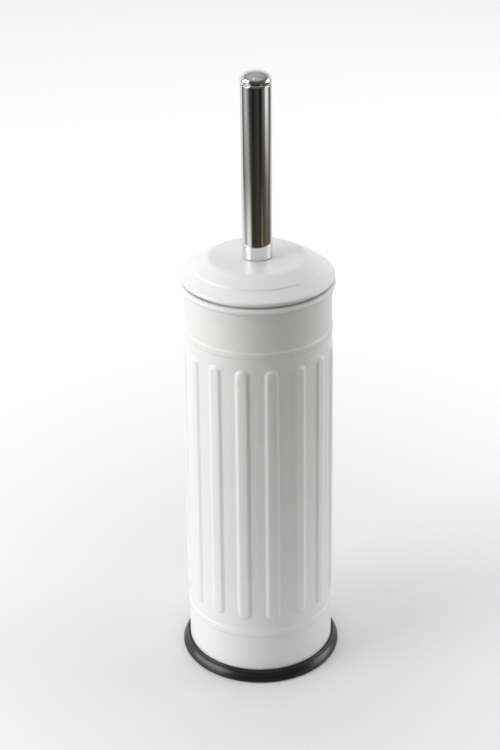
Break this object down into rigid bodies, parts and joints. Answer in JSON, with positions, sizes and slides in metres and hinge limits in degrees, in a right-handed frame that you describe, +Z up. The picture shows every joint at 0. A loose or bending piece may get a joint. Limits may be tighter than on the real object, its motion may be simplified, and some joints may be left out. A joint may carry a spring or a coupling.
{
  "type": "toilet brush holder",
  "caption": "Tall ribbed steel can with a base ring and a lid; the lid rides on the chrome handle of a brush that stands in the can.",
  "frame": {"origin": "centre of the base ring's underside, on the surface the holder stands on", "axes": "+Z up along the can and the handle, +X to the right seen from the front, -Y towards the front"},
  "size_m": [0.1002, 0.1002, 0.3792],
  "materials": {
    "white_enamel": "satin powder coat",
    "chrome": "polished chrome plate",
    "black_plastic": "satin moulded",
    "grey_plastic": "satin moulded",
    "white_plastic": "moulded",
    "bristle": "nylon bristles",
    "nylon": "satin",
    "soft_washer": "matte",
    "zinc_steel": "zinc plated"
  },
  "bodies": {
    "holder": {"can_wall": "white_enamel", "can_floor": "white_enamel", "base_ring": "black_plastic", "liner_cup": "grey_plastic"},
    "lid": {"lid": "white_enamel", "lid_skirt": "white_enamel"},
    "brush": {"handle_tube": "chrome", "handle_cap": "chrome", "handle_insert": "zinc_steel", "foot_gasket": "soft_washer", "threaded_stud": "zinc_steel", "under_washer": "nylon", "lock_nut": "zinc_steel", "stem_tube": "chrome", "stem_top_plug": "zinc_steel", "stem_screw": "zinc_steel"},
    "head": {"head_core": "white_plastic", "bristle_row_1": "bristle", "bristle_row_2": "bristle", "bristle_row_3": "bristle", "bristle_row_4": "bristle", "bristle_row_5": "bristle", "bristle_row_6": "bristle", "bristle_row_7": "bristle", "bristle_row_8": "bristle", "bristle_tip": "bristle"}
  },
  "joints": [
    {"name": "brush_lift", "type": "slide", "parent": "holder", "child": "lid", "axis": [0, 0, 1], "range_m": [0, 0.27]},
    {"name": "brush_turn", "type": "hinge", "parent": "lid", "child": "brush", "pos_m": [0, 0, 0.271], "axis": [0, 0, 1], "continuous": true},
    {"name": "head_unscrew", "type": "hinge", "parent": "brush", "child": "head", "pos_m": [0, 0, 0.112], "axis": [0, 0, 1], "continuous": true}
  ]
}
